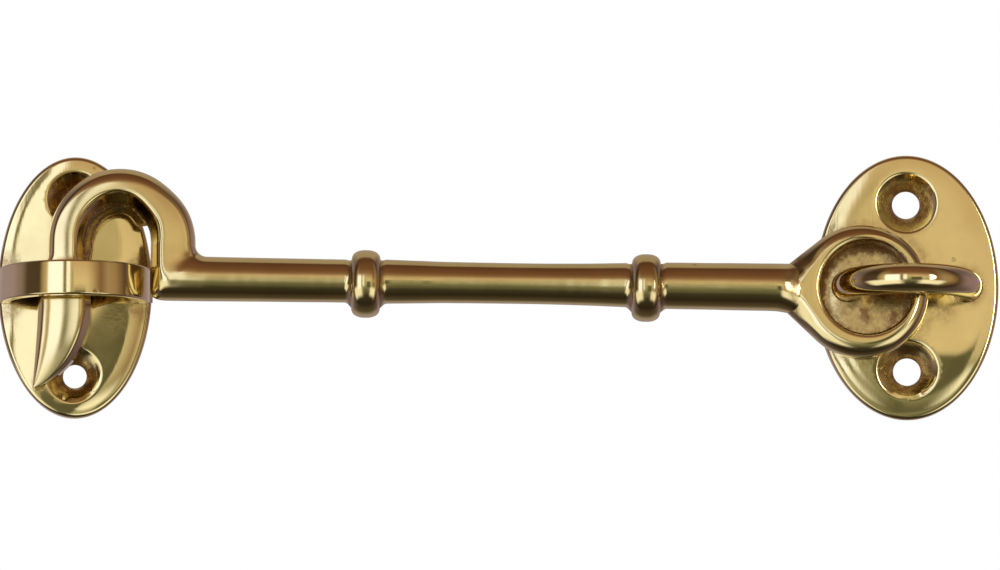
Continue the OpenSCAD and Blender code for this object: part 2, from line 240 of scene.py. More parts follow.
def makePlate(name, plate, material):
    halfW, halfH = plate["width"] / 2, plate["height"] / 2
    thick, edge = plate["thickness"], plate["edge"]
    atX = plate["centreX"]

    def frontAt(x, z):
        # crowned front: nearly flat, rolled off towards the rim, a little uneven from the wheel
        u, v = x / halfW, z / halfH
        rho = math.hypot(u, v)
        reach = math.hypot(x, z) / rho if rho > 1e-6 else halfW
        left = mix(plate["rollFoot"], plate["rollLeft"], ease((v + 0.7) / 0.6))
        width = mix(left, plate["rollWidth"], ease(1.5 * u + 0.5))
        inRoll = max(0.0, 1 - (1 - rho) * reach / width)
        roll = plate["roll"] * (width / plate["rollWidth"]) * (1 - plate["rollBias"] * v) * inRoll ** 2
        crown = plate["dome"] * u * u * (1.0 if u < 0 else plate["rightDome"])
        across = 0.8 * x - 0.6 * z - plate["leanFrom"]
        below = -z - plate["droopFrom"]
        lean = plate["lean"] * (across + math.hypot(across, 1.2)) / 2  # ground away at the lower right
        lean += plate["droop"] * (below + math.hypot(below, 1.6)) / 2  # and falling away at the bottom
        ripple = plate["ripple"] * noise.noise(Vector((x * 0.13, z * 0.13, plate["seed"])))
        return thick - crown - roll - lean + ripple

    def oval(inset, count):
        return [((halfW - inset) * math.cos(a), (halfH - inset) * math.sin(a))
                for a in (2 * math.pi * i / count for i in range(count))]

    def place(x, z, height):
        return (atX + x, -height, z)

    def circle(c, r, count):
        return [(c[0] + r * math.cos(a), c[1] + r * math.sin(a))
                for a in (2 * math.pi * i / count for i in range(count))]

    def slot(c, w, h, steps=6):
        corners = [(w / 2, -h / 2), (w / 2, h / 2), (-w / 2, h / 2), (-w / 2, -h / 2)]
        found = []
        for i in range(4):
            a, b = corners[i], corners[(i + 1) % 4]
            found += [(c[0] + mix(a[0], b[0], f), c[1] + mix(a[1], b[1], f))
                      for f in (s / steps for s in range(steps))]
        return found

    # each opening: its outline at every depth below the front, from the front to the back
    openings = []
    sinkR, holeR, rim = plate["sink"] / 2, plate["hole"] / 2, plate["rim"]
    for side in (-1, 1):
        c = (0.0, side * plate["holeSpacing"] / 2)
        profile = [(sinkR + rim * (1 - math.sin(a)), 0.75 * rim * (1 - math.cos(a)))
                   for a in (math.radians(t) for t in (0, 12, 24, 36, 48, 58))]
        topR, topDepth = profile[-1]
        bottom = thick - topDepth - (topR - holeR - 0.1)
        profile += [(mix(topR, holeR + 0.1, f), mix(topDepth, thick - bottom, f))
                    for f in (0.25, 0.5, 0.75, 1)]
        profile += [(holeR, thick - bottom + 0.2), (holeR, thick - 0.15), (holeR + 0.15, thick)]
        openings.append([(circle(c, r, sinkSteps), d) for r, d in profile])
    for c, kind, size in plate["rivets"]:
        if kind == "round":
            shapes = [circle(c, r, rivetSteps) for r in (size, size, size + rivetFlare)]
        else:
            shapes = [slot(c, size[0] + g, size[1] + g) for g in (0, 0, 2 * rivetFlare)]
        openings.append(list(zip(shapes, (0, thick - rivetFlare, thick))))

    bm = bmesh.new()
    outline = oval(edge, rimSteps)

    def fill(outer, holes, spacing, height):
        # flat triangulation with the holes left out, lifted to height(x, z)
        loops = [outer] + holes
        points, edges = [], []
        for ring in loops:
            base = len(points)
            points += ring
            edges += [(base + i, base + (i + 1) % len(ring)) for i in range(len(ring))]

        def inside(ring, p):
            hit = False
            for i in range(len(ring)):
                a, b = ring[i - 1], ring[i]
                if (a[1] > p[1]) != (b[1] > p[1]):
                    crossing = (b[0] - a[0]) * (p[1] - a[1]) / (b[1] - a[1]) + a[0]
                    hit = hit != (p[0] < crossing)
            return hit

        fixed = len(points)
        tries, inset = [], edge + spacing
        while spacing and inset < halfW - spacing:  # ovals inside one another, so the roll shades evenly
            around = 2 * math.pi * (halfW + halfH - 2 * inset) / 2
            tries += oval(inset, int(around / (1.15 * spacing)) + 8)
            inset += spacing
        steps = int(2 * (halfH - halfW) / spacing) if spacing else 0
        tries += [(0.0, (i / steps - 0.5) * 2 * (halfH - halfW)) for i in range(steps + 1)] if steps else []
        for p in tries:
            near = min((p[0] - q[0]) ** 2 + (p[1] - q[1]) ** 2 for q in points[:fixed])
            if near > (0.5 * spacing) ** 2 and not any(inside(h, p) for h in holes):
                points.append(p)
        out = delaunay_2d_cdt([Vector(p) for p in points], edges, [], 0, 1e-7)
        verts = [bm.verts.new(Vector(place(p[0], p[1], height(p[0], p[1]))) * mm) for p in out[0]]
        for tri in out[2]:
            mid = [sum(out[0][i][k] for i in tri) / 3 for k in (0, 1)]
            if inside(outer, mid) and not any(inside(h, mid) for h in holes):
                bm.faces.new([verts[i] for i in tri])

    fill(outline, [o[0][0] for o in openings], plate["grain"], frontAt)
    # rounded outer edge, side and a small chamfer at the back
    last = None
    heights = [frontAt(*p) for p in outline]
    for t in range(0, 91, 9):
        a = math.radians(t)
        ring = oval(edge * (1 - math.sin(a)), rimSteps)
        loop = loopOf(bm, [place(p[0], p[1], h - edge * (1 - math.cos(a))) for p, h in zip(ring, heights)])
        if last:
            bridge(bm, last, loop)
        last = loop
    for inset, share, height in ((0, 0.6, 0), (0, 0, backEdge), (0.06, 0, 0.06), (backEdge, 0, 0)):
        levels = [share * (h - edge) + height for h in heights]
        loop = loopOf(bm, [place(p[0], p[1], h) for p, h in zip(oval(inset, rimSteps), levels)])
        bridge(bm, last, loop)
        last = loop
    # walls of the openings
    for opening in openings:
        centre = [sum(p[k] for p in opening[0][0]) / len(opening[0][0]) for k in (0, 1)]
        level = frontAt(*centre)
        last = None
        for ring, depth in opening:
            follow = max(0.0, 1 - depth / 0.8)  # the rim follows the front, deeper cuts the back
            square = mix(level, thick, min(1, depth / thick)) - depth
            heights = [mix(square, frontAt(*p) - depth, follow) for p in ring]
            loop = loopOf(bm, [place(p[0], p[1], max(0.0, h)) for p, h in zip(ring, heights)])
            if last:
                bridge(bm, last, loop)
            last = loop
    fill(oval(backEdge, rimSteps), [o[-1][0] for o in openings], 0, lambda x, z: 0.0)
    piece = newPiece(bm, name, material)

    def dirtAndShade(x, y, z):
        x -= atX
        grimeAndShade = 0.0
        depth = frontAt(x, z) + y
        for side in (-1, 1):
            r = math.hypot(x, z - side * plate["holeSpacing"] / 2)
            grimeAndShade = max(grimeAndShade, 0.7 * ease((sinkR - r) / 1.2) * ease(depth / 0.5))
        for c, kind, size in plate["rivets"]:
            r = math.hypot(x - c[0], (z - c[1]) * (1 if kind == "round" else 0.6))
            grimeAndShade = max(grimeAndShade, 0.45 * bump(r, 2.4, 0.8))
        # real stains, and round the pivot's eye painted shade as well as dirt
        for spot, r0, width, amount in plate["stainsAndShade"]:
            grimeAndShade = max(grimeAndShade, amount * bump(math.hypot(x - spot[0], z - spot[1]), r0, width))
        return max(grimeAndShade, 0.35 * ease((0.8 + y) / 0.6))  # the back is left as cast

    markRecessAndShade(piece, dirtAndShade)
    return piece


pivotPlateSizes = {
    "width": 28.0, "height": 40.5, "thickness": 3.0, "centreX": 0.0, "edge": 0.7, "grain": 0.6,
    "roll": 0.4, "rollWidth": 4.0, "rollLeft": 4.0, "rollFoot": 4.0, "rollBias": 0.6,
    "dome": 0.1, "rightDome": 2.0, "lean": 0.0, "leanFrom": 0.0,
    "droop": 0.155, "droopFrom": 11.0, "ripple": 0.03, "seed": 3.1,
    "holeSpacing": 25.7, "hole": 4.2, "sink": 8.7, "rim": 0.55,
    "rivets": [((side * 9.05, 0.0), "round", 1.65) for side in (-1, 1)],
    # each stain: its centre, the radius of a ring or 0 for a spot, its width and its strength; the first six,
    # round the eye, are partly dirt and partly painted shade, the eye's shadow and its dark back mirrored in
    # the plate
    "stainsAndShade": [((-6.3, -0.9), 7.0, 1.3, 1.0), ((-6.3, -0.9), 0.0, 7.0, 0.7), ((-6.6, -4.6), 0.0, 1.7, 1.0),
               ((-2.6, -4.6), 0.0, 2.0, 0.8), ((-8.6, 2.6), 0.0, 3.2, 0.6), ((-6.3, -0.9), 10.4, 0.9, 0.3),
               ((5.6, -3.6), 0.0, 1.8, 0.4), ((-0.5, 8.4), 0.0, 2.0, 0.25)],
}
pivotPlate = makePlate("pivotPlate", pivotPlateSizes, plateBrass)
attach(pivotPlate, "mounting")
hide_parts("pivot_plate")

catchPlateSizes = {
    "width": 23.4, "height": 40.0, "thickness": 3.0, "centreX": -127.0, "edge": 0.7, "grain": 0.6,
    "roll": 0.5, "rollWidth": 4.2, "rollLeft": 2.4, "rollFoot": 0.5, "rollBias": 0.5,
    "dome": 0.2, "rightDome": 1.6, "lean": 0.125, "leanFrom": 4.6,
    "droop": 0.0, "droopFrom": 11.0, "ripple": 0.03, "seed": 8.4,
    "holeSpacing": 27.1, "hole": 3.6, "sink": 8.0, "rim": 0.5,
    "rivets": [((side * 10.55, 0.0), "flat", (1.3, 3.1)) for side in (-1, 1)],
    "stainsAndShade": [((6.5, -4.6), 0.0, 2.0, 0.25), ((0.5, 9.5), 0.0, 2.4, 0.3)],
}
catchPlate = makePlate("catchPlate", catchPlateSizes, plateBrass)
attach(catchPlate, "mounting")
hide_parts("catch_plate")
print("plates made:", len(pivotPlate.data.polygons), len(catchPlate.data.polygons), "faces")


# half rings: the staple and the strap, swept along one path from rivet head to rivet head
def halfRingTree():
    tree = bpy.data.node_groups.new("halfRing", "GeometryNodeTree")
    face = tree.interface
    face.new_socket("Geometry", in_out="INPUT", socket_type="NodeSocketGeometry")
    labels = ("Centre X", "Ring Radius", "Leg", "Bar Depth", "Bar Height", "Corner", "Shoulder",
              "Tenon Scale", "Head Scale", "Head Length", "Foot Flare", "Foot Length")
    kinds = [(label, "Float") for label in labels]
    kinds += [("Steps", "Int"), ("Corner Steps", "Int"), ("Brass", "Material")]
    ids = {label: face.new_socket(label, in_out="INPUT", socket_type="NodeSocket" + kind).identifier
           for label, kind in kinds}
    face.new_socket("Geometry", in_out="OUTPUT", socket_type="NodeSocketGeometry")
    entry = put(tree, "NodeGroupInput").outputs

    line = put(tree, "GeometryNodeCurvePrimitiveLine", {"Start": (0, 0, 0), "End": (1, 0, 0)})
    fine = put(tree, "GeometryNodeResampleCurve", {"Curve": line.outputs[0], "Count": entry["Steps"]})
    along = put(tree, "GeometryNodeSplineParameter").outputs["Factor"]
    arc = calc(tree, "MULTIPLY", entry["Ring Radius"], math.pi)
    length = calc(tree, "MULTIPLY_ADD", entry["Leg"], 2.0, arc)
    passed = calc(tree, "SUBTRACT", calc(tree, "MULTIPLY", along, length), entry["Leg"])
    onArc = calc(tree, "MINIMUM", calc(tree, "MAXIMUM", passed, 0.0), arc)
    angle = calc(tree, "DIVIDE", onArc, entry["Ring Radius"])
    offArc = calc(tree, "ABSOLUTE", calc(tree, "SUBTRACT", passed, onArc))
    upLeg = calc(tree, "SUBTRACT", entry["Leg"], offArc)  # 0 at the back of the plate
    x = calc(tree, "MULTIPLY_ADD", calc(tree, "COSINE", angle), entry["Ring Radius"], entry["Centre X"])
    out = calc(tree, "MULTIPLY_ADD", calc(tree, "SINE", angle), entry["Ring Radius"], upLeg)
    spot = put(tree, "ShaderNodeCombineXYZ", {"X": x, "Y": calc(tree, "MULTIPLY", out, -1.0)})
    path = put(tree, "GeometryNodeSetPosition", {"Geometry": fine.outputs[0], "Position": spot.outputs[0]})
    path = put(tree, "GeometryNodeSetCurveNormal", {"Curve": path.outputs[0]}, mode="Z_UP")

    aboveHead = calc(tree, "DIVIDE", upLeg, entry["Head Length"])
    head = calc(tree, "MAXIMUM", calc(tree, "SUBTRACT", 1.0, aboveHead), 0.0)
    spread = calc(tree, "SUBTRACT", entry["Head Scale"], entry["Tenon Scale"])
    tenon = calc(tree, "MULTIPLY_ADD", head, spread, entry["Tenon Scale"])
    aboveFoot = calc(tree, "DIVIDE", calc(tree, "SUBTRACT", upLeg, entry["Shoulder"]), entry["Foot Length"])
    foot = calc(tree, "MAXIMUM", calc(tree, "SUBTRACT", 1.0, aboveFoot), 0.0)
    bar = calc(tree, "MULTIPLY_ADD", calc(tree, "POWER", foot, 2.0), entry["Foot Flare"], 1.0)
    inFront = calc(tree, "GREATER_THAN", upLeg, entry["Shoulder"])
    size = calc(tree, "MULTIPLY_ADD", inFront, calc(tree, "SUBTRACT", bar, tenon), tenon)

    blank = put(tree, "GeometryNodeCurvePrimitiveQuadrilateral",
                {"Width": entry["Bar Depth"], "Height": entry["Bar Height"]})
    section = put(tree, "GeometryNodeFilletCurve", {
        "Curve": blank.outputs[0], "Count": entry["Corner Steps"], "Radius": entry["Corner"],
        "Limit Radius": True}, mode="POLY")
    swept = put(tree, "GeometryNodeCurveToMesh", {
        "Curve": path.outputs[0], "Profile Curve": section.outputs[0], "Scale": size, "Fill Caps": True})
    solid = put(tree, "GeometryNodeRealizeInstances", {"Geometry": swept.outputs[0]})
    made = put(tree, "GeometryNodeSetMaterial", {"Geometry": solid.outputs[0], "Material": entry["Brass"]})
    put(tree, "NodeGroupOutput", {"Geometry": made.outputs[0]})
    return tree, ids


halfRing, halfRingIds = halfRingTree()


def makeHalfRing(name, sizes, material, sharp):
    piece = bpy.data.objects.new(name, bpy.data.meshes.new(name + "Start"))
    bpy.context.scene.collection.objects.link(piece)
    modifier = piece.modifiers.new("halfRing", "NODES")
    modifier.node_group = halfRing
    for label, value in sizes.items():
        lengths = not isinstance(value, int) and "Scale" not in label and "Flare" not in label
        modifier[halfRingIds[label]] = value * mm if lengths else value
    modifier[halfRingIds["Brass"]] = material
    return plainMesh(piece, material, sharp)


stapleSizes = {
    "Centre X": 0.0, "Ring Radius": 9.05, "Leg": 3.6, "Bar Depth": 4.6, "Bar Height": 4.6, "Corner": 2.299,
    "Shoulder": 2.75, "Tenon Scale": 0.695, "Head Scale": 0.95, "Head Length": 0.6,
    "Foot Flare": 0.12, "Foot Length": 0.8, "Steps": 420, "Corner Steps": 12,
}
pivotStaple = makeHalfRing("pivotStaple", stapleSizes, stapleBrass, 40)
markRecessAndShade(pivotStaple, lambda x, y, z: 0.7 * ease((y + 4.0) / 1.0))
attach(pivotStaple, "mounting")
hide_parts("pivot_staple")

strapSizes = {
    "Centre X": -127.0, "Ring Radius": 10.55, "Leg": 3.0, "Bar Depth": 1.9, "Bar Height": 5.3, "Corner": 0.36,
    "Shoulder": 2.3, "Tenon Scale": 0.62, "Head Scale": 0.86, "Head Length": 0.6,
    "Foot Flare": 0.0, "Foot Length": 0.5, "Steps": 300, "Corner Steps": 6,
}
catchStrap = makeHalfRing("catchStrap", strapSizes, stapleBrass, 40)


def strapDirt(x, y, z):
    inner = ease((9.9 - math.hypot(x - strapSizes["Centre X"], y + strapSizes["Leg"])) / 0.5)
    return max(0.55 * inner, 0.8 * ease((y + 3.9) / 1.0))


markRecessAndShade(catchStrap, strapDirt)
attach(catchStrap, "mounting")
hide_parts("catch_strap")
print("staple and strap swept")


# hook arm: one loft from the eye's root to the claw's point, joined to the eye
hook = {
    "holeAt": (-6.3, -7.15, -0.9), "rise": 0.84, "holeR": 7.1, "holeEdge": 0.85,
    "eyeR": 10.15, "eyeDepth": 5.2, "eyeEdge": 2.2, "eyeShift": 0.8, "eyeSag": 0.5,
    "neckTop": (-12.2, 3.35), "neckBottom": (-12.3, -3.7), "faceReach": 8.05, "neckTip": 1.55, "neckCut": 0.6,
    "shankAtEye": 7.4, "neckAtBead": 7.0, "waist": 6.2, "heel": 6.8,
    "root": 8.6, "rootL": 5.2, "rootHalf": 2.3, "sweep": 0.9, "sweepFrom": 14.6, "sweepL": 4.4,
    "beads": (33.6, 76.2), "beadD": 10.3, "beadW": 4.3, "beadDrop": 0.4, "beadFoot": 3.85, "beadFillet": 1.0,
    "archX": -113.75, "halfSpan": 8.15, "archRise": 8.8, "archLean": 0.35,
    "crownW": 5.4, "heelW": 6.8, "barT": 6.4, "fillet": 1.8, "taper": 1.2, "seam": 0.16,
    "clawW": 8.2, "clawT": 7.5, "clawDrop": 17.1, "pointL": 11.9, "pointLean": 0.5, "shoulderL": 3.2,
    "ridgeLeg": 0.25, "ridgeClaw": 0.18, "ridgeCrown": 0.36, "ridgeRound": 0.7,
    "corner": 1.3, "cornerCrown": 2.6, "faceR": 14.0,
    "clawTilt": 0.03, "clawTurn": 0.02, "clawRound": 0.1, "clawBevel": 0.4,
}
springing = hook["heel"] / 2 + hook["fillet"]
heelX = hook["archX"] + hook["halfSpan"] + hook["heelW"] / 2 + hook["fillet"]
shoulderZ = hook["clawDrop"] - hook["pointL"]
# steps over the front of a section: from the outer side to the face, the ridge, the bevel, the wall and the
# inner side
toFace, toRidge, toBevel, toWall, halfRound = 10, 20, 25, 32, 36
heelSteps, archSteps, shoulderSteps, clawSteps = 32, 170, 24, 48
eyeSteps = 240


def shankRadius(s):
    first, second = hook["beads"]
    if s < first:
        return mix(hook["shankAtEye"], hook["neckAtBead"], s / first) / 2
    if s < second:
        f = (s - first) / (second - first)
        return mix(hook["waist"], hook["neckAtBead"], abs(2 * f - 1) ** 2.5) / 2
    return mix(hook["neckAtBead"] - 0.5, hook["heel"], (s - second) / (-heelX - second)) / 2


def turnedAt(s):
    # radius and drop of the turned shank, with fillets that lead up to each bead
    r, drop = shankRadius(s), 0.0
    half, fillet = hook["beadW"] / 2, hook["beadFillet"]
    r += 0.03 * noise.noise(Vector((s * 0.16, 2.7, 0))) + 0.012 * noise.noise(Vector((s * 0.6, 6.1, 0)))
    for at in hook["beads"]:
        d = abs(s - at)
        if d < half:
            r = hook["beadFoot"] + (hook["beadD"] / 2 - hook["beadFoot"]) * math.sqrt(1 - (d / half) ** 2.5)
        elif d < half + fillet:
            r = mix(r, hook["beadFoot"], 1 - math.sqrt(max(0.0, 1 - ((half + fillet - d) / fillet) ** 2)))
        drop = max(drop, hook["beadDrop"] * ease((half + fillet - d) / fillet))
    return r, drop


def shankDepth(s, r):
    # half depth of the shank, whose front and back round down to the eye's faces
    return mix(hook["rootHalf"], r, ease((s - hook["root"]) / hook["rootL"]))


def turnedPlaces():
    # where the loft has rings along the shank, close together on the beads
    half, fillet = hook["beadW"] / 2, hook["beadFillet"]
    places = [9.0 + 0.2 * i for i in range(25)]
    for at in hook["beads"]:
        barrel = [half * math.sin(math.radians(t)) for t in range(-90, 91, 5)]
        foot = [half + fillet * (1 - math.cos(math.radians(t))) for t in range(10, 91, 10)]
        places += [at + d for d in barrel + foot + [-d for d in foot]]
    s = 14.0
    while s < -heelX - 0.2:
        if min(abs(s - at) for at in hook["beads"]) > half + fillet + 0.1:
            places.append(s)
        s += 0.5
    return sorted(places)


def barFront(n0, n1, d, ridge, corner, claw):
    # rounded side, slightly crowned face (turned a little on the claw), softened ridge and the bevel
    w = n1 - n0
    top = n1 - ridge * w
    corner, soft = min(corner, 0.75 * (top - n0)), min(hook["ridgeRound"], 0.4 * ridge * w)
    face = top - n0 - corner

    def drop(f):
        bowed = min(face * face / (2 * hook["faceR"]), 0.45 * d) * f * f
        turned = face * (hook["clawTilt"] * f + hook["clawTurn"] * f ** 2 + hook["clawRound"] * f ** 4)
        return mix(bowed, min(turned, 0.45 * d), claw)

    # the claw's bevel ends on a side wall, the arch's at the parting line
    wall = -d * (1 - hook["clawBevel"]) * claw
    slope = (d + wall) / max(0.05, ridge * w - 0.5 * soft)
    front = []
    for j in range(halfRound + 1):
        if j <= toFace:
            a = math.pi / 2 * j / toFace
            front.append((n0 + corner * (1 - math.cos(a)), -(d - drop(1)) * math.sin(a)))
        elif j <= toRidge:
            f = (toRidge - j) / (toRidge - toFace)
            front.append((top - face * f, -d + drop(f)))
        elif j <= toBevel:
            f = (j - toRidge) / (toBevel - toRidge)
            front.append((top + soft * f, -d + 0.5 * slope * soft * f * f))
        else:
            f, g = (j - toBevel) / (halfRound - toBevel), min(1.0, (j - toBevel) / (toWall - toBevel))
            start = -d + 0.5 * slope * soft
            plain = (mix(top + soft, n1, f), mix(start, 0.0, f))
            level = mix(start, wall, g)
            if j > toWall:
                level = mix(wall, 0.0, (j - toWall) / (halfRound - toWall))
            walled = (mix(top + soft, n1, g), level)
            front.append((mix(plain[0], walled[0], claw), mix(plain[1], walled[1], claw)))
    return front


def barSection(n0, n1, d, k, ridge, taper, corner, claw):
    # from round like the shank (k = 0) to a bar (k = 1), whose back half may reach further in by the taper
    bar = barFront(n0, n1, d, ridge, corner, claw)
    ring = [(mix(n0, n1, (1 - math.cos(t)) / 2), -d * math.sin(t))
            for t in (math.pi * j / halfRound for j in range(halfRound + 1))]
    front = [(mix(a[0], b[0], k), mix(a[1], b[1], k)) for a, b in zip(ring, bar)]
    back = [(p, -y) for p, y in front]
    if taper:
        rounding, flat = 0.5, 0.94 * d
        reach = (n1 + taper - rounding - n0) / (back[toBevel][0] - n0)
        share = min(1.0, taper / 0.5)
        for j in range(toFace + 1, halfRound):
            if j >= toBevel:
                g = (halfRound - j) / (halfRound - toBevel)
                plain = (n1 + taper * ease(g / 0.6) - rounding * max(0.0, (g - 0.6) / 0.4) ** 2, flat * g)
            else:
                wider = mix(1, reach, ease((j - toFace) / (toBevel - toFace)))
                plain = (n0 + (back[j][0] - n0) * wider, max(back[j][1], flat))
            back[j] = (mix(back[j][0], plain[0], share), mix(back[j][1], plain[1], share))
    return front + back[-2:0:-1]


def barRing(c, u, outer, inner, d, k=1.0, ridge=hook["ridgeLeg"], taper=0.0, rough=0.0,
            corner=hook["corner"], claw=0.0):
    ring = []
    for p, y in barSection(-outer, inner, d, k, ridge, taper, corner, claw):
        if rough and p > inner - 0.6:  # ragged parting line on the inner side
            p += rough * math.exp(-(y / 0.4) ** 2)
        ring.append((c[0] - u[0] * p, y, c[1] - u[1] * p))
    return ring


def hookRings():
    rings = []
    for s in turnedPlaces():
        r, drop = turnedAt(s)
        # the underside sweeps down into the eye
        below = r + hook["sweep"] * max(0.0, (hook["sweepFrom"] - s) / hook["sweepL"]) ** 2
        section = barRing((0, 0), (0, 1), r, below, shankDepth(s, r), k=0.0)
        rings.append([(-s, y, z - drop) for _, y, z in section])
    for i in range(heelSteps + 1):  # heel, a fan round the fillet
        f = i / heelSteps
        a = math.pi / 2 * f
        sole = (hook["heel"] + hook["fillet"]) / max(1e-6, math.cos(a))
        side = (hook["heelW"] + hook["fillet"]) / max(1e-6, math.sin(a))
        far = (sole ** -12 + side ** -12) ** (-1 / 12)
        d = mix(hook["heel"], hook["barT"], ease((f - 0.3) / 0.7)) / 2
        rings.append(barRing((heelX, springing), (math.sin(a), math.cos(a)), -hook["fillet"], far, d,
                             k=ease((f - 0.4) / 0.3)))
    for i in range(1, archSteps + 1):  # arch
        a = math.pi * i / archSteps
        w = mix(hook["heelW"], hook["crownW"], ease(a / math.pi * 2)) / 2
        offStrap = ease((a - 0.32) / 0.6)  # true below, where the strap passes close by
        lean = 0.0
        if a < math.pi / 2:  # the shoulder leans in
            lean = hook["archLean"] * offStrap * math.sin(2 * a) ** 2
        c = (hook["archX"] + hook["halfSpan"] * math.cos(a) - lean,
             springing + hook["archRise"] * math.sin(a))
        u = Vector((math.cos(a) / hook["halfSpan"], math.sin(a) / hook["archRise"])).normalized()
        ragged = noise.noise(Vector((i * 0.31, 0, 5))) + 0.6 * noise.noise(Vector((i * 0.9, 4, 5)))
        rings.append(barRing(c, u, w, w, hook["barT"] / 2,
                             ridge=mix(hook["ridgeLeg"], hook["ridgeCrown"], math.sin(a)),
                             taper=hook["taper"] * ease((a - 0.42) / 0.4),
                             rough=hook["seam"] * offStrap * (0.4 + ragged),
                             corner=mix(hook["corner"], hook["cornerCrown"], math.sin(a) ** 2)))
    legX = hook["archX"] - hook["halfSpan"]
    for i in range(1, shoulderSteps + 1):  # shoulder, where the bar swells into the claw
        z = mix(springing, -shoulderZ, i / shoulderSteps)
        g = ease((springing - z - 2) / hook["shoulderL"])
        w = mix(hook["crownW"], hook["clawW"], g) / 2
        rings.append(barRing((legX, z), (-1, 0), w, w, mix(hook["barT"], hook["clawT"], g) / 2,
                             ridge=mix(hook["ridgeLeg"], hook["ridgeClaw"], g),
                             taper=hook["taper"] * ease(1 - i / 14), claw=g))
    for i in range(1, clawSteps + 1):  # claw
        f = 0.995 * math.sin(math.pi / 2 * i / clawSteps)  # stops just short of the point
        outer = hook["clawW"] / 2 + hook["pointLean"] * f
        w = (hook["clawW"] + hook["pointLean"]) * (1 - f * f) ** 0.7
        inner = w - hook["clawW"] / 2 - hook["pointLean"]
        d = hook["clawT"] / 2 * mix(1, 0.22, f ** 2)
        rings.append(barRing((legX, -shoulderZ - hook["pointL"] * f), (-1, 0), outer, inner, d,
                             ridge=hook["ridgeClaw"], corner=min(hook["corner"], 0.16 * w), claw=1.0))
    return rings


def makeEye():
    bm = bmesh.new()
    half, edge, lip = hook["eyeDepth"] / 2, hook["eyeEdge"], hook["holeEdge"]
    centre = Vector((-hook["eyeShift"], -hook["eyeSag"]))
    # straight sides from the rim to the shank's top and bottom: the angle of each end and of its tangent
    sides = []
    for end, sign in ((hook["neckTop"], -1), (hook["neckBottom"], 1)):
        to = Vector(end) - centre
        at = math.atan2(to[1], to[0]) % (2 * math.pi)
        sides.append((at, at + sign * math.acos(hook["eyeR"] / to.length)))
    (topAt, topSide), (bottomAt, bottomSide) = sides
    endX = hook["neckTop"][0] - centre[0]
    loops = []
    for i in range(eyeSteps):
        t = 2 * math.pi * i / eyeSteps
        way = Vector((math.cos(t), math.sin(t)))
        reach = hook["eyeR"]
        if topSide < t <= topAt:
            reach /= math.cos(t - topSide)
        elif bottomAt <= t < bottomSide:
            reach /= math.cos(t - bottomSide)
        elif topAt < t < bottomAt:
            reach = endX / math.cos(t)
        near = hook["holeR"] * way
        across = centre + reach * way - near
        length = across.length
        across /= length
        side = [(lip * (1 - math.sin(a)), half - lip * (1 - math.cos(a)))
                for a in (math.radians(x) for x in (90, 72, 54, 36, 18, 0))]
        # the flat face runs out to a tip at the shank, so the straight sides have wider and flatter bevels
        wide = reach - hook["faceReach"] - hook["neckTip"] * bump(t, math.pi, 0.36)
        cut = hook["neckCut"] * ease((wide - 1.85) / 1.1)
        side += [(mix(lip, length - wide, f), half) for f in (0.25, 0.5, 0.75)]
        side += [(length - wide * (1 - math.sin(a)), half - edge * mix(1 - math.cos(a), math.sin(a), cut))
                 for a in (math.radians(x) for x in range(0, 91, 9))]
        ring = [(q, -d) for q, d in side] + [(q, d) for q, d in reversed(side)]
        loops.append(loopOf(bm, [(near[0] + across[0] * q, y, near[1] + across[1] * q) for q, y in ring]))
    for i in range(eyeSteps):
        bridge(bm, loops[i - 1], loops[i])
    return newPiece(bm, "eyeBlank", hookBrass)


def makeHook():
    bm = bmesh.new()
    loops = [loopOf(bm, ring) for ring in hookRings()]
    for first, second in zip(loops, loops[1:]):
        bridge(bm, first, second)
    bm.faces.new(loops[0])
    bm.faces.new(loops[-1])
    arm = newPiece(bm, "hookArm", hookBrass)
    eye = makeEye()
    joined = arm.modifiers.new("eye", "BOOLEAN")
    joined.operation, joined.solver, joined.object = "UNION", "EXACT", eye
    plainMesh(arm, hookBrass, 28)
    bpy.data.objects.remove(eye)

    def dirtAndShade(x, y, z):
        grimeAndShade = 0.0
        for at in hook["beads"]:  # at the beads' feet
            grimeAndShade = max(grimeAndShade, 0.6 * bump(abs(x + at), hook["beadW"] / 2 + 0.15, 0.3))
        fromHole = math.hypot(x, z)
        if x > -14:  # where the shank meets the eye, and in the hole
            grimeAndShade = max(grimeAndShade, 0.5 * bump(fromHole, 11.4, 0.5) * ease((-x - 8) / 3))
            # painted shade: the hole's wall darkened as if mirroring the dark gap behind the eye
            grimeAndShade = max(grimeAndShade, 0.85 * ease((7.6 - fromHole) / 0.4))
        if x < heelX + 2 and z > -3:  # along the parting line inside the arch, and behind it
            a, b = (x - hook["archX"]) / hook["halfSpan"], (z - springing) / hook["archRise"]
            inner = math.hypot(a, b) if z > springing else abs(a)
            fromSeam = (1 - hook["crownW"] / 2 / hook["halfSpan"] - inner) * hook["halfSpan"]
            behind = ease((y + 0.5) / 1.0) * ease((fromSeam + 1.0) / 0.5)
            grimeAndShade = max(grimeAndShade, 0.7 * bump(y, 0.0, 0.7) * ease((fromSeam + 0.7) / 0.4), 0.5 * behind)
        return grimeAndShade

    markRecessAndShade(arm, dirtAndShade)
    turn = Matrix.Rotation(math.radians(hook["rise"]), 4, "Y")
    arm.data.transform(Matrix.Translation(Vector(hook["holeAt"]) * mm) @ turn)
    return arm


hookArm = makeHook()
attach(hookArm, "hook")
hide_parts("hook_arm")
print("hook lofted:", len(hookArm.data.polygons), "faces")


# floor, light and camera
studio = {
    "middleX": -0.063, "floorZ": -0.21, "floorR": 2.5,
    "paper": (0.86, 0.86, 0.85), "fibres": (0.9, 0.9, 0.89),
}


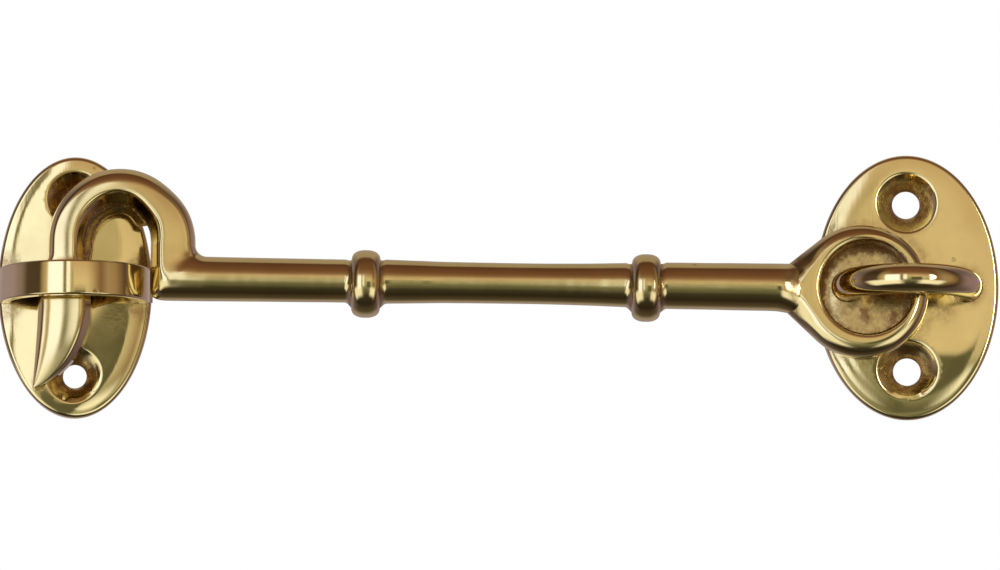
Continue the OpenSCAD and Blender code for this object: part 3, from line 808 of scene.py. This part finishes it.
def makeFloor():
    bm = bmesh.new()
    bmesh.ops.create_circle(bm, cap_ends=True, segments=96, radius=studio["floorR"],
                            matrix=Matrix.Translation((studio["middleX"], 0, studio["floorZ"])))
    mesh = bpy.data.meshes.new("floor")
    bm.to_mesh(mesh)
    bm.free()
    paper = bpy.data.materials.new("palePaper")
    paper.use_nodes = True
    tree = paper.node_tree
    tree.nodes.clear()
    fibre = put(tree, "ShaderNodeTexNoise", {
        "Vector": put(tree, "ShaderNodeTexCoord").outputs["Object"], "Scale": 400.0, "Detail": 3.0})
    tone = blendColour(tree, fibre.outputs["Fac"], (*studio["paper"], 1), (*studio["fibres"], 1))
    shader = put(tree, "ShaderNodeBsdfPrincipled", {"Base Color": tone, "Roughness": 0.9})
    put(tree, "ShaderNodeOutputMaterial", {"Surface": shader.outputs["BSDF"]})
    mesh.materials.append(paper)
    floor = bpy.data.objects.new("floor", mesh)
    bpy.context.scene.collection.objects.link(floor)
    floor.visible_glossy = False  # the brass mirrors the room round it


makeFloor()

# room mirrored in the brass, by the angle round the long axis: 0 is the viewer, 90 overhead, -90 underneath
roomStops = (
    (-180, (0.36, 0.32, 0.36)), (-140, (0.36, 0.31, 0.33)), (-118, (0.10, 0.08, 0.06)),
    (-80, (0.03, 0.022, 0.015)), (-46, (0.05, 0.045, 0.03)), (-28, (0.17, 0.165, 0.11)),
    (-17, (0.34, 0.33, 0.23)), (-8, (0.58, 0.53, 0.40)), (6, (0.76, 0.63, 0.44)), (18, (0.56, 0.41, 0.28)),
    (31, (0.28, 0.165, 0.105)), (46, (0.19, 0.09, 0.053)), (84, (0.12, 0.055, 0.035)),
    (92, (0.11, 0.055, 0.035)), (99, (0.40, 0.32, 0.25)), (180, (0.40, 0.35, 0.35)),
)
# and to the sides, by the angle from the viewer: -90 is left, 90 right
sideStops = (
    (-180, (0.36, 0.29, 0.40)), (-105, (0.36, 0.29, 0.40)), (-84, (0.24, 0.18, 0.20)),
    (-74, (0.09, 0.06, 0.045)), (-52, (0.08, 0.055, 0.04)), (-46, (0.40, 0.32, 0.20)),
    (-38, (0.66, 0.54, 0.36)), (0, (0.66, 0.54, 0.38)), (16, (0.47, 0.33, 0.215)), (32, (0.36, 0.23, 0.14)),
    (44, (0.24, 0.14, 0.085)), (56, (0.40, 0.29, 0.20)), (68, (0.38, 0.26, 0.16)),
    (86, (0.11, 0.07, 0.05)), (104, (0.28, 0.20, 0.27)), (180, (0.36, 0.26, 0.34)),
)
# and what stands in it: angles from the viewer, heights, the softness of both, colour and blend
roomPatches = (
    ((-70, -12), (-0.74, -0.24), (8, 0.1), (1.08, 1.06, 1.04), "MIX"),  # pale table at the left
    ((18, 60), (-0.72, -0.3), (8, 0.1), (1.08, 1.06, 1.04), "MIX"),  # and at the right
    ((2.6, 20), (-0.34, 0.02), (1.2, 0.05), (0.12, 0.115, 0.07), "MIX"),  # dark bench
    ((-2.2, 1.6), (-0.5, 0.2), (1.0, 0.08), (0.62, 0.66, 0.60), "MULTIPLY"),  # the viewer
    ((-38, -14.5), (-0.36, 0.38), (2.0, 0.1), (1.3, 1.36, 1.75), "MIX"),  # the window's wide pane
    ((-13.5, -9.5), (-0.36, 0.38), (1.0, 0.1), (0.20, 0.19, 0.12), "MIX"),  # its dark bar
    ((-9, -3.6), (-0.24, 0.38), (0.9, 0.1), (1.15, 1.18, 1.35), "MIX"),  # and its narrow pane
)


def rampOf(tree, angle, stops):
    ramp = put(tree, "ShaderNodeValToRGB", {"Fac": ranged(tree, angle, -math.pi, math.pi)})
    marks = ramp.color_ramp.elements
    while len(marks) < len(stops):
        marks.new(0.5)
    for mark, (degrees, colour) in zip(marks, stops):
        mark.position = (degrees + 180) / 360
    for mark, (degrees, colour) in zip(marks, stops):
        mark.color = (*colour, 1)
    return ramp.outputs["Color"]


def makeWorld():
    world = bpy.data.worlds.new("studio")
    bpy.context.scene.world = world
    world.use_nodes = True
    tree = world.node_tree
    tree.nodes.clear()
    where = put(tree, "ShaderNodeTexCoord").outputs["Generated"]
    way = put(tree, "ShaderNodeSeparateXYZ", {0: where}).outputs
    ahead = calc(tree, "MULTIPLY", way["Y"], -1.0)
    front = rampOf(tree, calc(tree, "ARCTAN2", way["Z"], ahead), roomStops)
    azimuth = calc(tree, "ARCTAN2", way["X"], ahead)
    low = ranged(tree, way["Z"], -0.8, -0.1, 0.3, 1.0, "SMOOTHSTEP")
    high = ranged(tree, way["Z"], 0.15, 0.7, 1.0, 0.55, "SMOOTHSTEP")
    dimmed = calc(tree, "MULTIPLY", low, high)
    sides = blendColour(tree, 1.0, rampOf(tree, azimuth, sideStops), dimmed, "MULTIPLY")
    aside = ranged(tree, calc(tree, "ABSOLUTE", way["X"]), 0.3, 0.7, 0.0, 1.0, "SMOOTHSTEP")
    room = blendColour(tree, aside, front, sides)

    def between(value, first, last, soft):
        rise = ranged(tree, value, first - soft, first + soft, 0.0, 1.0, "SMOOTHSTEP")
        fall = ranged(tree, value, last - soft, last + soft, 1.0, 0.0, "SMOOTHSTEP")
        return calc(tree, "MULTIPLY", rise, fall)

    for angles, heights, (turnSoft, heightSoft), colour, blend in roomPatches:
        inAngle = between(azimuth, *(math.radians(x) for x in (*angles, turnSoft)))
        mask = calc(tree, "MULTIPLY", inAngle, between(way["Z"], *heights, heightSoft))
        room = blendColour(tree, mask, room, (*colour, 1), blend)

    # mirrored rays see the room, the camera a white backdrop, and diffuse rays an even light
    mirrored = put(tree, "ShaderNodeBackground", {"Color": room, "Strength": 1.0}).outputs[0]
    backdrop = put(tree, "ShaderNodeBackground", {"Color": (1, 1, 1, 1), "Strength": 1.0}).outputs[0]
    ambient = put(tree, "ShaderNodeBackground", {"Color": (1, 0.99, 0.97, 1), "Strength": 0.8}).outputs[0]
    path = put(tree, "ShaderNodeLightPath").outputs
    soft = put(tree, "ShaderNodeMixShader", {0: path["Is Diffuse Ray"], 1: mirrored, 2: ambient}).outputs[0]
    seen = put(tree, "ShaderNodeMixShader", {0: path["Is Camera Ray"], 1: soft, 2: backdrop}).outputs[0]
    put(tree, "ShaderNodeOutputWorld", {"Surface": seen})


makeWorld()


def softbox(name, place, width, height, level, aim, spread):
    lamp = bpy.data.lights.new(name, "AREA")
    lamp.shape = "RECTANGLE"
    lamp.size, lamp.size_y = width, height
    lamp.energy = level * math.pi * width * height  # level 1 mirrors as white
    lamp.spread = math.radians(spread)
    lampObject = bpy.data.objects.new(name, lamp)
    lampObject.location = place
    lampObject.rotation_euler = (Vector(aim) - lampObject.location).to_track_quat("-Z", "Y").to_euler()
    lampObject.visible_camera = False
    bpy.context.scene.collection.objects.link(lampObject)
    return lampObject


softbox("rightBox", (0.184, -0.247, 0.02), width=0.05, height=0.3, level=1.0, aim=(0.07, 0, 0), spread=44)
overhead = softbox("overhead", (studio["middleX"], -0.3, 0.9), width=0.9, height=0.5, level=0.5,
                   aim=(studio["middleX"], 0, 0), spread=180)
overhead.visible_glossy = False  # for the shadow on the floor
print("studio set")

view = {"target": (-62.1, -7.15, -0.34), "elevation": -7.5, "distance": 1.2, "frameWidth": 0.1520}
lens = bpy.data.cameras.new("camera")
camera = bpy.data.objects.new("camera", lens)
bpy.context.scene.collection.objects.link(camera)
target = Vector(view["target"]) * mm
tilt = math.radians(view["elevation"])
camera.location = target + view["distance"] * Vector((0, -math.cos(tilt), math.sin(tilt)))
camera.rotation_euler = (target - camera.location).to_track_quat("-Z", "Y").to_euler()
lens.sensor_width = 36
lens.lens = lens.sensor_width * view["distance"] / view["frameWidth"]
lens.clip_start = 0.01
bpy.context.scene.camera = camera
bpy.context.scene.view_settings.view_transform = "Standard"
print("camera placed")
